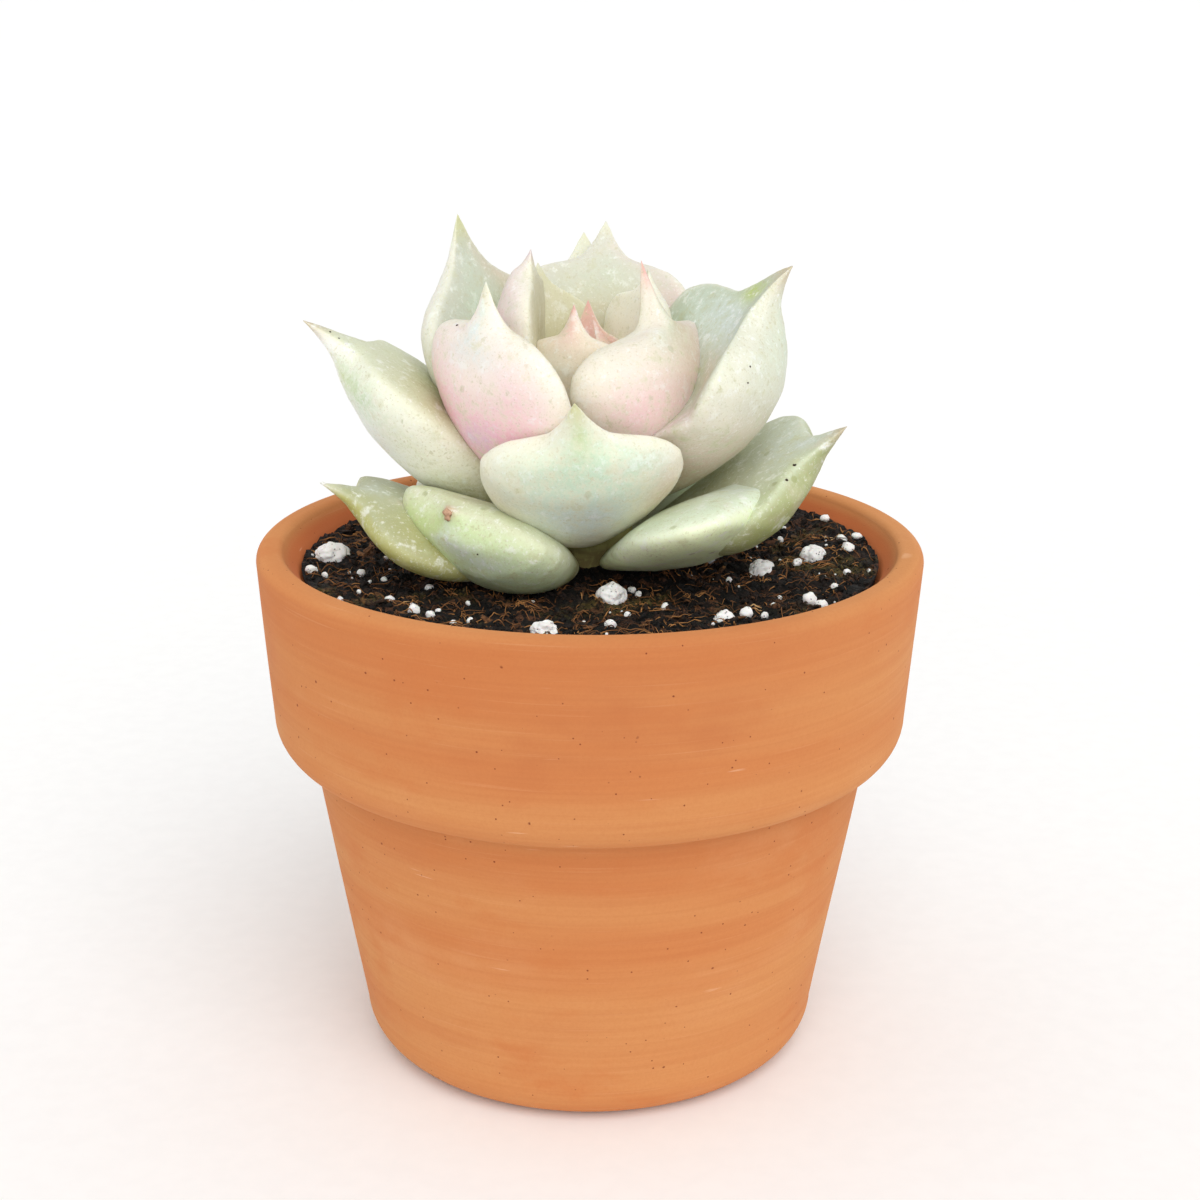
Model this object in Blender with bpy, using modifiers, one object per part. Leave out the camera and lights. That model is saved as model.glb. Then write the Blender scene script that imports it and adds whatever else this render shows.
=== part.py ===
# Potted succulent rosette: clay pot with a drain hole, potting mix with white
# grit, a short stem and a spiral of thick pointed leaves.
# Metres, +Z up, origin at the centre of the pot's base.
import bpy
import bmesh
import math
from mathutils import Vector
from mathutils.bvhtree import BVHTree

MM = 0.001

# pot
RIM_RADIUS = 41.0
RIM_INNER_RADIUS = 38.2
RIM_ROUNDING = 1.4
COLLAR_BOTTOM_RADIUS = 39.6
COLLAR_BOTTOM_HEIGHT = 39.7
COLLAR_ROUNDING = 4.6
BODY_TOP_RADIUS = 35.0
BASE_RADIUS = 29.2
BASE_ROUNDING = 5.0
POT_HEIGHT = 65.5
FLOOR_THICKNESS = 5.0
DRAIN_RADIUS = 5.0
POT_STEPS = 48

# potting mix: height of its top at distances from the middle, and how much it rises towards +X
SOIL_TOP = [(0.0, 62.2), (7.0, 62.2), (13.0, 62.15), (19.0, 62.15), (25.0, 62.3), (30.0, 62.75), (35.6, 63.1)]
SOIL_TILT = 0.009
GAP = 0.32

# stem
STEM_RADIUS = 5.2
STEM_BOTTOM = 44.0
STEM_TOP = 79.5

# leaf meshes
LEAF_AROUND = 12
LEAF_ALONG = [0.0, 0.04, 0.12, 0.25, 0.40, 0.54, 0.66, 0.76, 0.84, 0.90, 0.96, 1.0]

for old in list(bpy.data.objects):
    bpy.data.objects.remove(old, do_unlink=True)

plantGroup = bpy.data.collections.new("potted_succulent")
cutterGroup = bpy.data.collections.new("cutters")
bpy.context.scene.collection.children.link(plantGroup)
bpy.context.scene.collection.children.link(cutterGroup)


def material(name, colour, roughness):
    made = bpy.data.materials.new(name)
    made.use_nodes = True
    shader = made.node_tree.nodes["Principled BSDF"]
    shader.inputs["Base Color"].default_value = (*colour, 1.0)
    shader.inputs["Roughness"].default_value = roughness
    shader.inputs["Metallic"].default_value = 0.0
    made.diffuse_color = (*colour, 1.0)
    return made


def add_object(name, bm, group):
    mesh = bpy.data.meshes.new(name)
    bm.to_mesh(mesh)
    bm.free()
    made = bpy.data.objects.new(name, mesh)
    group.objects.link(made)
    return made


def between(table, at):
    # value at one place of a list of (position, value) pairs, in straight steps
    for (x0, y0), (x1, y1) in zip(table, table[1:]):
        if at <= x1:
            t = (at - x0) / (x1 - x0)
            return y0 + (y1 - y0) * t
    return table[-1][1]


# outline of half a leaf: first the blade, then the drawn-out point; the square blade has a high shoulder
BLADE_WIDTH = [(0.0, 0.0), (0.03, 0.22), (0.10, 0.38), (0.25, 0.58), (0.45, 0.82),
               (0.60, 0.96), (0.70, 1.0), (0.80, 0.97), (0.88, 0.84), (0.94, 0.64), (1.0, 0.38)]
SQUARE_WIDTH = [(0.0, 0.0), (0.03, 0.22), (0.10, 0.38), (0.25, 0.57), (0.45, 0.80),
                (0.60, 0.93), (0.70, 0.98), (0.80, 1.0), (0.88, 0.97), (0.94, 0.88), (1.0, 0.38)]
POINT_WIDTH = [(0.0, 1.0), (0.2, 0.68), (0.5, 0.38), (0.8, 0.16), (1.0, 0.0)]
BLADE_DEPTH = [(0.0, 0.0), (0.03, 0.25), (0.10, 0.45), (0.30, 0.80), (0.55, 1.0),
               (0.75, 0.95), (0.90, 0.72), (1.0, 0.50)]
POINT_DEPTH = [(0.0, 0.50), (0.3, 0.30), (0.7, 0.12), (1.0, 0.0)]


def width_at(leaf, position, shoulder):
    # point is the part of the length taken by the drawn-out tip, neck is how wide that starts
    share = leaf["point"]
    if position <= 1.0 - share:
        at = position / (1.0 - share)
        plain = between(BLADE_WIDTH[:-1] + [(1.0, leaf["neck"])], at)
        square = between(SQUARE_WIDTH[:-1] + [(1.0, leaf["neck"])], at)
        return plain + (square - plain) * shoulder
    return leaf["neck"] * between(POINT_WIDTH, (position - 1.0 + share) / share)


def depth_at(leaf, position):
    share = leaf["point"]
    if position <= 1.0 - share:
        return between(BLADE_DEPTH, position / (1.0 - share))
    return between(POINT_DEPTH, (position - 1.0 + share) / share)


def leaf_frames(leaf, positions):
    # centre line of the leaf with its side and upper directions, in mm
    frames = []
    place = Vector((leaf["start"], 0.0, leaf["height"]))
    turned = math.radians(leaf["around"])
    steps = 200
    wanted = list(positions)
    for step in range(steps + 1):
        position = step / steps
        tip = max(0.0, (position - 1.0 + leaf["point"]) / leaf["point"])
        rise = math.radians(leaf["rise"] + (leaf["tipRise"] - leaf["rise"]) * position + leaf["flick"] * tip)
        swing = math.radians(leaf["swing"]) * position
        ahead = Vector((math.cos(rise) * math.cos(swing), math.cos(rise) * math.sin(swing), math.sin(rise)))
        side = Vector((-math.sin(swing), math.cos(swing), 0.0))
        upper = ahead.cross(side)
        while wanted and position >= wanted[0] - 1e-9:
            twist = math.radians(leaf["twist"]) * min(1.0, position * 2.0)
            turnedSide = side * math.cos(twist) + upper * math.sin(twist)
            turnedUpper = upper * math.cos(twist) - side * math.sin(twist)
            frames.append((place.copy(), turnedSide, turnedUpper))
            wanted.pop(0)
        place += ahead * (leaf["length"] / steps)
    spin = [math.cos(turned), math.sin(turned)]
    for index, (place, side, upper) in enumerate(frames):
        spun = []
        for vector in (place, side, upper):
            x = vector.x * spin[0] - vector.y * spin[1]
            y = vector.x * spin[1] + vector.y * spin[0]
            spun.append(Vector((x, y, vector.z)))
        frames[index] = spun
    return frames


def leaf_mesh(leaf, swell=0.0):
    # a sphere with its poles at the leaf's base and tip, laid along the centre line
    rings = len(LEAF_ALONG) - 1
    frames = leaf_frames(leaf, LEAF_ALONG)
    bm = bmesh.new()
    bmesh.ops.create_uvsphere(bm, u_segments=LEAF_AROUND, v_segments=rings, radius=1.0)
    for vert in bm.verts:
        ring = round((1.0 - math.acos(max(-1.0, min(1.0, vert.co.z))) / math.pi) * rings)
        angle = math.atan2(vert.co.y, vert.co.x)
        position = LEAF_ALONG[ring]
        place, side, upper = frames[ring]
        across = math.cos(angle)
        which = 1 if across > 0.0 else 0
        half = 0.5 * leaf["width"] * width_at(leaf, position, leaf["shoulders"][which])
        depth = leaf["depth"] * depth_at(leaf, position)
        lift = math.sin(angle)
        if lift > 0.0:
            lift = 0.34 * lift ** 0.8
        else:
            lift = -0.66 * (-lift) ** 1.05
        lift *= 1.0 + leaf["lean"] * across
        hollow = (leaf["hollow"] + leaf["curl"][which]) * half * across * across
        if ring in (0, rings):
            across = lift = hollow = 0.0
        vert.co = (place + side * (half * across) + upper * (depth * lift + hollow)) * MM
    bmesh.ops.recalc_face_normals(bm, faces=bm.faces)
    if swell:
        bm.normal_update()
        for vert in bm.verts:
            vert.co += vert.normal * (swell * MM)
    return bm


def leaf(name, around, height, rise, tipRise, length, width, point, depth=7.5, twist=0.0, swing=0.0,
         hollow=0.12, flick=0.0, start=4.6, shoulders=(0.0, 0.0), curl=(0.0, 0.0), lean=0.0, neck=0.38):
    # shoulders and curl are given for each margin; lean makes one side thicker than the other
    return dict(name=name, around=around, height=height, rise=rise, tipRise=tipRise, length=length,
                width=width, point=point, depth=depth, twist=twist, swing=swing, hollow=hollow,
                flick=flick, start=start, shoulders=shoulders, curl=curl, lean=lean, neck=neck)


# the leaves, those that show their whole shape first; each later one gives way to them
LEAVES = [
    leaf("leaf_front_middle", -92, 67.6, 25, 66, 28.9, 23.4, 0.2, depth=7.4, twist=4, swing=-5,
         flick=-10, start=4.5, shoulders=(0.31, 0.27), curl=(-0.03, 0.03), lean=-0.24, neck=0.34),
    leaf("leaf_front_left", -131, 71.1, 42, 87, 31.9, 23.9, 0.16, depth=7.7, twist=-11, swing=2,
         hollow=0.08, flick=-3, shoulders=(0.82, 0.2), curl=(-0.03, -0.08), lean=-0.24, neck=0.29),
    leaf("leaf_front_right", -31, 71.9, 54, 125, 29.6, 27.4, 0.26, depth=7.4, twist=-5, swing=5,
         hollow=0.15, flick=-22, start=5.3, shoulders=(0.27, 0.83), curl=(0.09, -0.06), lean=-0.53,
         neck=0.19),
    leaf("leaf_low_front_left", -135, 62.7, 27, 32, 22.7, 23.6, 0.08, depth=9.4, twist=-4, swing=7,
         hollow=0.08, flick=1, shoulders=(0.7, 0.31), curl=(-0.01, -0.13), lean=-0.05, neck=0.3),
    leaf("leaf_low_front_right", -45, 63.5, 35, 19, 24.6, 27.6, 0.08, twist=-8, swing=27, hollow=0.07,
         flick=-61, start=4.7, shoulders=(0.24, 1.35), curl=(-0.17, 0.21), lean=0.21, neck=0.3),
    leaf("leaf_low_left", 198, 64.1, 9, 35, 31.2, 22.0, 0.18, depth=6.1, twist=-12, swing=4,
         hollow=0.01, flick=-14, start=4.7, shoulders=(0.62, 0.35), curl=(-0.08, -0.08), lean=0.09,
         neck=0.28),
    leaf("leaf_low_right", -14, 65.4, 19, 46, 32.2, 25.4, 0.2, depth=7.3, twist=20, swing=-18,
         hollow=0.11, flick=-8, start=5.0, shoulders=(0.29, 0.26), curl=(-0.02, -0.0), lean=0.01,
         neck=0.34),
    leaf("leaf_left", 184, 66.0, 47, 39, 40.1, 21.6, 0.19, depth=10.3, twist=-2, swing=1, hollow=0.1,
         flick=-11, shoulders=(0.86, 0.19), curl=(-0.02, -0.03), lean=-0.1, neck=0.33),
    leaf("leaf_right", -11, 71.0, 49, 67, 35.5, 29.1, 0.2, depth=10.6, twist=38, swing=-16, hollow=0.17,
         flick=-26, start=4.5, shoulders=(0.31, 0.11), curl=(0.33, -0.01), lean=-0.16, neck=0.33),
    leaf("leaf_back_left", 155, 71.1, 51, 85, 36.2, 22.2, 0.21, depth=7.6, twist=-13, swing=2, flick=-1,
         start=4.5, shoulders=(0.23, -0.01), curl=(0.01, -0.02), lean=0.04, neck=0.43),
    leaf("leaf_back", 86, 73.5, 54, 78, 31.7, 23.0, 0.15, twist=8, swing=-6, flick=-2, start=4.5,
         shoulders=(0.27, 0.37), curl=(-0.01, 0.02), neck=0.29),
    leaf("leaf_upper_left", 177, 76.0, 60, 106, 25.7, 17.3, 0.12, depth=5.5, twist=2, swing=-5,
         hollow=0.13, flick=-12, start=3.8, shoulders=(0.38, 0.3), curl=(0.01, 0.01), neck=0.3),
    leaf("leaf_upper_right", 26, 76.5, 72, 86, 22.2, 15.3, 0.13, depth=4.9, hollow=0.13, flick=2,
         start=3.5, shoulders=(0.27, 0.49), curl=(0.01, 0.02), lean=0.04, neck=0.28),
    leaf("leaf_heart_front", -109, 76.6, 70, 92, 19.0, 13.3, 0.2, depth=4.5, twist=-5, swing=-1,
         start=3.0, shoulders=(0.34, 0.27), curl=(0.0, -0.01), lean=-0.01, neck=0.32),
    leaf("leaf_back_outer", 93, 70.5, 49, 77, 34.0, 21.7, 0.16),
    leaf("leaf_heart_back", 95, 77.4, 76, 90, 17.0, 10.5, 0.22, depth=4.0, start=2.2),
    leaf("leaf_heart_right", -15, 77.0, 84, 112, 16.0, 9.0, 0.22, depth=4.0, start=2.4),
    leaf("leaf_heart_left", 190, 77.2, 76, 94, 14.0, 9.0, 0.2, depth=4.0, start=2.4),
    leaf("leaf_upper_back_left", 128, 75.5, 58, 88, 24.0, 15.0, 0.14, depth=5.0, start=3.8),
    leaf("leaf_mid_back_right", 47, 69.8, 42, 72, 29.0, 23.0, 0.16),
    leaf("leaf_mid_back_left", 123, 68.0, 38, 66, 31.0, 23.0, 0.17),
    leaf("leaf_outer_back_right", 68, 66.5, 26, 52, 31.0, 23.0, 0.17),
    leaf("leaf_low_back_right", 40, 63.6, 10, 36, 29.0, 22.0, 0.15),
    leaf("leaf_low_back", 100, 63.2, 10, 36, 30.0, 22.5, 0.16),
    leaf("leaf_low_back_left", 140, 64.2, 10, 30, 24.0, 21.0, 0.15),
]

# white grit: (name, x, y, height of its middle, diameter across, squash)
GRIT = [
    ("perlite_front", 2.6, -16.0, 62.8, 3.5, 0.85),
    ("perlite_right", 21.0, -5.0, 62.7, 3.2, 0.80),
    ("perlite_far_right", 27.7, 0.2, 63.1, 3.1, 0.90),
    ("perlite_left", -32.2, 0.0, 63.1, 4.3, 0.62),
    ("perlite_front_edge", -4.9, -29.0, 62.8, 3.3, 0.62),
    ("perlite_front_right", 15.3, -24.2, 62.6, 2.4, 0.85),
    ("perlite_back_right", 24.0, 21.0, 62.9, 3.4, 0.80),
    ("perlite_back", -3.0, 32.6, 63.2, 3.0, 0.85),
    ("perlite_back_left", -24.0, 20.0, 62.9, 3.2, 0.75),
]


def set_mesh(target, bm):
    mesh = bpy.data.meshes.new(target.data.name)
    bm.to_mesh(mesh)
    bm.free()
    target.data = mesh


def subtract(target, cutters):
    # cut the target by each cutter in turn and keep its largest remaining body
    for cutter in cutters:
        modifier = target.modifiers.new("cut", "BOOLEAN")
        modifier.operation = "DIFFERENCE"
        modifier.solver = "EXACT"
        modifier.object = cutter
    bpy.context.view_layer.update()
    graph = bpy.context.evaluated_depsgraph_get()
    mesh = bpy.data.meshes.new_from_object(target.evaluated_get(graph))
    target.modifiers.clear()
    bm = bmesh.new()
    bm.from_mesh(mesh)
    keep_largest(bm)
    tidy(bm)
    set_mesh(target, bm)


def keep_largest(bm):
    unseen = set(bm.verts)
    islands = []
    while unseen:
        start = unseen.pop()
        island = {start}
        queue = [start]
        while queue:
            here = queue.pop()
            for edge in here.link_edges:
                other = edge.other_vert(here)
                if other in unseen:
                    unseen.remove(other)
                    island.add(other)
                    queue.append(other)
        islands.append(island)
    islands.sort(key=len, reverse=True)
    for island in islands[1:]:
        bmesh.ops.delete(bm, geom=list(island), context="VERTS")


def tidy(bm):
    bmesh.ops.triangulate(bm, faces=bm.faces)
    bmesh.ops.dissolve_degenerate(bm, edges=bm.edges, dist=0.00002)
    bmesh.ops.triangulate(bm, faces=bm.faces)
    for _ in range(6):
        # draw in any edge where two sheets pinch together, and drop faces folded flat onto each other
        pinched = [edge for edge in bm.edges if len(edge.link_faces) != 2]
        if not pinched:
            break
        bmesh.ops.collapse(bm, edges=pinched)
        bm.verts.index_update()
        seen = {}
        for face in bm.faces:
            seen.setdefault(frozenset(vert.index for vert in face.verts), []).append(face)
        folded = [face for faces in seen.values() if len(faces) > 1 for face in faces]
        if folded:
            bmesh.ops.delete(bm, geom=folded, context="FACES")
        keep_largest(bm)
        loose = [vert for vert in bm.verts if not vert.link_faces]
        bmesh.ops.delete(bm, geom=loose, context="VERTS")


def tree_of(target):
    bm = bmesh.new()
    bm.from_mesh(target.data)
    tree = BVHTree.FromBMesh(bm)
    bm.free()
    return tree


def inside(tree, point):
    # count crossings along a slanted ray
    direction = Vector((0.31, 0.17, 0.93)).normalized()
    crossings = 0
    here = point.copy()
    for _ in range(40):
        hit = tree.ray_cast(here, direction)
        if hit[0] is None:
            break
        crossings += 1
        here = hit[0] + direction * 1e-6
    return crossings % 2 == 1


def touches(first, second):
    a = tree_of(first)
    b = tree_of(second)
    if a.overlap(b):
        return True
    return inside(b, first.data.vertices[0].co) or inside(a, second.data.vertices[0].co)


def turned_profile(name, points, group, steps):
    # a closed outline at +X, spun round the axis; it runs down the outer side first
    mesh = bpy.data.meshes.new(name)
    bm = bmesh.new()
    verts = [bm.verts.new((r * MM, 0.0, z * MM)) for r, z in points]
    for index, vert in enumerate(verts):
        bm.edges.new((vert, verts[(index + 1) % len(verts)]))
    bm.to_mesh(mesh)
    bm.free()
    made = bpy.data.objects.new(name, mesh)
    group.objects.link(made)
    screw = made.modifiers.new("turn", "SCREW")
    screw.axis = "Z"
    screw.steps = steps
    screw.render_steps = steps
    screw.use_merge_vertices = True
    screw.merge_threshold = 0.00001
    screw.use_smooth_shade = True
    return made


def turned_solid(name, points, group, steps):
    # an open outline that starts and ends on the axis, spun into a solid
    mesh = bpy.data.meshes.new(name)
    bm = bmesh.new()
    verts = [bm.verts.new((r * MM, 0.0, z * MM)) for r, z in points]
    for first, second in zip(verts, verts[1:]):
        bm.edges.new((first, second))
    bm.to_mesh(mesh)
    bm.free()
    made = bpy.data.objects.new(name, mesh)
    group.objects.link(made)
    screw = made.modifiers.new("turn", "SCREW")
    screw.axis = "Z"
    screw.steps = steps
    screw.render_steps = steps
    screw.use_merge_vertices = True
    screw.merge_threshold = 0.00001
    return made


def arc(centreR, centreZ, radius, start, end, count):
    points = []
    for step in range(count + 1):
        angle = math.radians(start + (end - start) * step / count)
        points.append((centreR + radius * math.cos(angle), centreZ + radius * math.sin(angle)))
    return points


# pot
potProfile = []
potProfile += arc(RIM_RADIUS - RIM_ROUNDING, POT_HEIGHT - RIM_ROUNDING, RIM_ROUNDING, 90, 0, 3)
potProfile += arc(COLLAR_BOTTOM_RADIUS - COLLAR_ROUNDING, COLLAR_BOTTOM_HEIGHT + COLLAR_ROUNDING,
                  COLLAR_ROUNDING, 0, -86, 4)
potProfile.append((BODY_TOP_RADIUS, COLLAR_BOTTOM_HEIGHT - 0.15))
potProfile += arc(BASE_RADIUS - BASE_ROUNDING, BASE_ROUNDING, BASE_ROUNDING, 0, -90, 4)
potProfile.append((DRAIN_RADIUS, 0.0))
potProfile.append((DRAIN_RADIUS, FLOOR_THICKNESS))
potProfile.append((22.0, FLOOR_THICKNESS))
potProfile.append((24.6, 7.6))
potProfile.append((30.2, 39.0))
potProfile.append((34.9, 60.0))
potProfile.append((36.2, 63.2))
potProfile.append((RIM_INNER_RADIUS - 0.5, POT_HEIGHT - 0.7))
potProfile.append((RIM_INNER_RADIUS + 0.4, POT_HEIGHT))
pot = turned_profile("pot", potProfile, plantGroup, POT_STEPS)

# potting mix: a turned plug with a gently mounded, lumpy top
soilProfile = SOIL_TOP + [(34.45, 59.6), (29.85, 39.0), (24.2, 7.8), (21.8, 5.4), (0.0, 5.4)]
soil = turned_solid("soil", soilProfile, plantGroup, 32)
bpy.context.view_layer.update()
graph = bpy.context.evaluated_depsgraph_get()
soilMesh = bpy.data.meshes.new_from_object(soil.evaluated_get(graph))
soil.modifiers.clear()
bm = bmesh.new()
bm.from_mesh(soilMesh)
bmesh.ops.remove_doubles(bm, verts=bm.verts, dist=0.00001)
for vert in bm.verts:
    if vert.co.z > 0.0605:
        x = vert.co.x / MM
        y = vert.co.y / MM
        reach = math.hypot(x, y)
        lumps = 0.35 * math.sin(0.42 * x + 1.3) * math.sin(0.37 * y + 0.4)
        lumps += 0.20 * math.sin(0.9 * x + 0.6 * y)
        fade = min(1.0, max(0.0, (35.6 - reach) / 3.0))
        vert.co.z += (SOIL_TILT * x + lumps * fade) * MM
bmesh.ops.recalc_face_normals(bm, faces=bm.faces)
set_mesh(soil, bm)

# stem: a short column that the leaves grow from, with its foot in the mix
stemProfile = [(0.0, STEM_TOP), (1.0, STEM_TOP - 0.3), (1.9, STEM_TOP - 2.2), (3.4, STEM_TOP - 6.0),
               (STEM_RADIUS, 69.0), (STEM_RADIUS, 60.0), (4.6, 54.0), (3.2, 48.0), (1.6, STEM_BOTTOM + 0.6),
               (0.0, STEM_BOTTOM)]
stem = turned_solid("stem", stemProfile, plantGroup, 16)
roomProfile = []
for reach, height in stemProfile:
    wider = GAP if 0 < reach else 0.0
    higher = GAP if height > 70 else -GAP if height < 50 else 0.0
    roomProfile.append((reach + wider, height + higher))
stemCutter = turned_solid("stem_room", roomProfile, cutterGroup, 16)

# grit grains: squashed, slightly knobbly balls
grains = []
grainCutters = []
for number, (name, x, y, z, size, squash) in enumerate(GRIT):
    for swell in (0.0, GAP):
        bm = bmesh.new()
        bmesh.ops.create_uvsphere(bm, u_segments=9, v_segments=6, radius=1.0)
        for vert in bm.verts:
            way = vert.co.normalized()
            knob = 1.0 + 0.10 * math.sin(3.1 * way.x + number) * math.sin(2.7 * way.y + 1.0 + number)
            radius = (0.5 * size * knob + swell) * MM
            vert.co = Vector((way.x * radius, way.y * radius * 0.92, way.z * radius * squash))
            vert.co += Vector((x, y, z)) * MM
        bmesh.ops.recalc_face_normals(bm, faces=bm.faces)
        if swell:
            grainCutters.append(add_object(name + "_room", bm, cutterGroup))
        else:
            grains.append(add_object(name, bm, plantGroup))

# leaves
leaves = []
leafCutters = []
for shape in LEAVES:
    leaves.append(add_object(shape["name"], leaf_mesh(shape), plantGroup))
    leafCutters.append(add_object(shape["name"] + "_room", leaf_mesh(shape, GAP + 0.06), cutterGroup))
bpy.context.view_layer.update()
graph = bpy.context.evaluated_depsgraph_get()
bakedStemCutter = bpy.data.meshes.new_from_object(stemCutter.evaluated_get(graph))
stemCutter.modifiers.clear()
stemCutter.data = bakedStemCutter

for index, blade in enumerate(leaves):
    cutters = [stemCutter]
    for earlier in range(index):
        if touches(blade, leafCutters[earlier]):
            cutters.append(leafCutters[earlier])
    subtract(blade, cutters)

soilCutters = [stemCutter]
for cutter in leafCutters + grainCutters:
    if touches(soil, cutter):
        soilCutters.append(cutter)
subtract(soil, soilCutters)

for cutter in cutterGroup.objects:
    cutter.hide_render = True
    cutter.display_type = "WIRE"

# looks
pot.data.materials.append(material("terracotta", (0.66, 0.25, 0.11), 0.85))
soil.data.materials.append(material("potting_mix", (0.035, 0.022, 0.015), 0.95))
stem.data.materials.append(material("stem_skin", (0.36, 0.34, 0.16), 0.7))
for grain in grains:
    grain.data.materials.append(material(grain.name + "_white", (0.82, 0.80, 0.77), 0.9))
for blade, shape in zip(leaves, LEAVES):
    low = shape["height"] < 66.0
    heart = "heart" in shape["name"]
    colour = (0.60, 0.68, 0.48) if low else (0.80, 0.60, 0.55) if heart else (0.78, 0.74, 0.64)
    blade.data.materials.append(material(blade.name + "_skin", colour, 0.55))
    blade.data.shade_smooth()
for grain in grains:
    grain.data.shade_smooth()
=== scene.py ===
import bpy
import bmesh
import math
import random
from mathutils import Matrix, Vector, noise


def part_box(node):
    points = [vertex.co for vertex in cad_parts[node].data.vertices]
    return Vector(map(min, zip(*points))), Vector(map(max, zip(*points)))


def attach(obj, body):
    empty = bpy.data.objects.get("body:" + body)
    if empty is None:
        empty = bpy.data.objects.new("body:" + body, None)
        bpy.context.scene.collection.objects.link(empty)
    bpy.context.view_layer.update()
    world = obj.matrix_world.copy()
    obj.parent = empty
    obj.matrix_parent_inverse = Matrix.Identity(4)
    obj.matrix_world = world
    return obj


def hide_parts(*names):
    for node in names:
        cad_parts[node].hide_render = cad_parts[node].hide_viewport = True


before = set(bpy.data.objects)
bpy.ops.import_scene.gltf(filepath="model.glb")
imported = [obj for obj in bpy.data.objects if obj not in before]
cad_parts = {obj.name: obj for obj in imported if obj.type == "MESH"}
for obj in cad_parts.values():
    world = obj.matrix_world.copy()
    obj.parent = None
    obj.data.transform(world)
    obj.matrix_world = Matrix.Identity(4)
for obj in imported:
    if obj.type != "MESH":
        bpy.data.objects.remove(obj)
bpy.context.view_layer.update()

mm = 0.001
print("frame loaded with", len(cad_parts), "nodes")


# small helpers for node trees

def tint(red, green, blue):
    # a colour as it is picked on screen, turned into the linear one that shaders want
    linear = []
    for part in (red, green, blue):
        part /= 255.0
        linear.append(part / 12.92 if part <= 0.04045 else ((part + 0.055) / 1.055) ** 2.4)
    return (*linear, 1.0)


def node(tree, kind, inputs=None, **settings):
    made = tree.nodes.new(kind)
    for key, value in settings.items():
        setattr(made, key, value)
    for key, value in (inputs or {}).items():
        if isinstance(value, bpy.types.NodeSocket):
            tree.links.new(value, made.inputs[key])
        else:
            made.inputs[key].default_value = value
    return made


def objectPlace(tree, stretch=(1, 1, 1), shift=(0, 0, 0)):
    coords = node(tree, "ShaderNodeTexCoord").outputs["Object"]
    made = node(tree, "ShaderNodeMapping", {"Vector": coords, "Scale": stretch, "Location": shift})
    return made.outputs[0]


def cloud(tree, place, scale, detail=3.0, roughness=0.55):
    made = node(tree, "ShaderNodeTexNoise", {"Vector": place, "Scale": scale, "Detail": detail,
                                             "Roughness": roughness})
    return made.outputs[0]


def between(tree, value, low, high, outLow=0.0, outHigh=1.0):
    made = node(tree, "ShaderNodeMapRange", {0: value, 1: low, 2: high, 3: outLow, 4: outHigh},
                interpolation_type="SMOOTHSTEP")
    return made.outputs[0]


def reckon(tree, how, first, second, clamp=False):
    made = node(tree, "ShaderNodeMath", {0: first, 1: second}, operation=how, use_clamp=clamp)
    return made.outputs[0]


def times(tree, first, second):
    return reckon(tree, "MULTIPLY", first, second)


def plus(tree, first, second):
    return reckon(tree, "ADD", first, second)


def cells(tree, place, scale):
    # distance to the nearest of many scattered points, and a random draw for each of them
    made = node(tree, "ShaderNodeTexVoronoi", {"Vector": place, "Scale": scale, "Randomness": 1.0})
    draw = node(tree, "ShaderNodeSeparateColor", {0: made.outputs["Color"]}).outputs[0]
    return made.outputs["Distance"], draw


def mixed(tree, amount, under, over):
    made = node(tree, "ShaderNodeMix", {0: amount, 6: under, 7: over}, data_type="RGBA", clamp_factor=True)
    return made.outputs[2]


def layered(tree, colour, source, low, high, most, over):
    # lays a colour over another where the source runs from low to high
    return mixed(tree, between(tree, source, low, high, 0.0, most), colour, over)


def streaks(tree, stretch, detail=3.0, roughness=0.55, shift=(0, 0, 0)):
    return cloud(tree, objectPlace(tree, stretch, shift), 1.0, detail, roughness)


def startMaterial(name, **sockets):
    made = bpy.data.materials.new(name)
    made.use_nodes = True
    shader = made.node_tree.nodes["Principled BSDF"]
    for key, value in sockets.items():
        shader.inputs[key.replace("_", " ")].default_value = value
    return made, made.node_tree, objectPlace(made.node_tree)


def finishMaterial(made, colour, roughness, height, strength, distance):
    tree = made.node_tree
    shader = tree.nodes["Principled BSDF"]
    tree.links.new(colour, shader.inputs["Base Color"])
    tree.links.new(roughness, shader.inputs["Roughness"])
    bump = node(tree, "ShaderNodeBump", {"Height": height, "Strength": strength, "Distance": distance})
    tree.links.new(bump.outputs[0], shader.inputs["Normal"])
    return made


def meshFrom(name, bm):
    mesh = bpy.data.meshes.new(name)
    bm.to_mesh(mesh)
    bm.free()
    return mesh


def inScene(name, data):
    made = bpy.data.objects.new(name, data)
    bpy.context.scene.collection.objects.link(made)
    return made


def newPiece(name, bm, material, smooth=True):
    mesh = meshFrom(name, bm)
    if smooth:
        mesh.shade_smooth()
    mesh.materials.append(material)
    piece = inScene(name, mesh)
    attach(piece, "root")
    return piece


def ease(low, high, value):
    t = max(0.0, min(1.0, (value - low) / (high - low)))
    return t * t * (3.0 - 2.0 * t)


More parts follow.
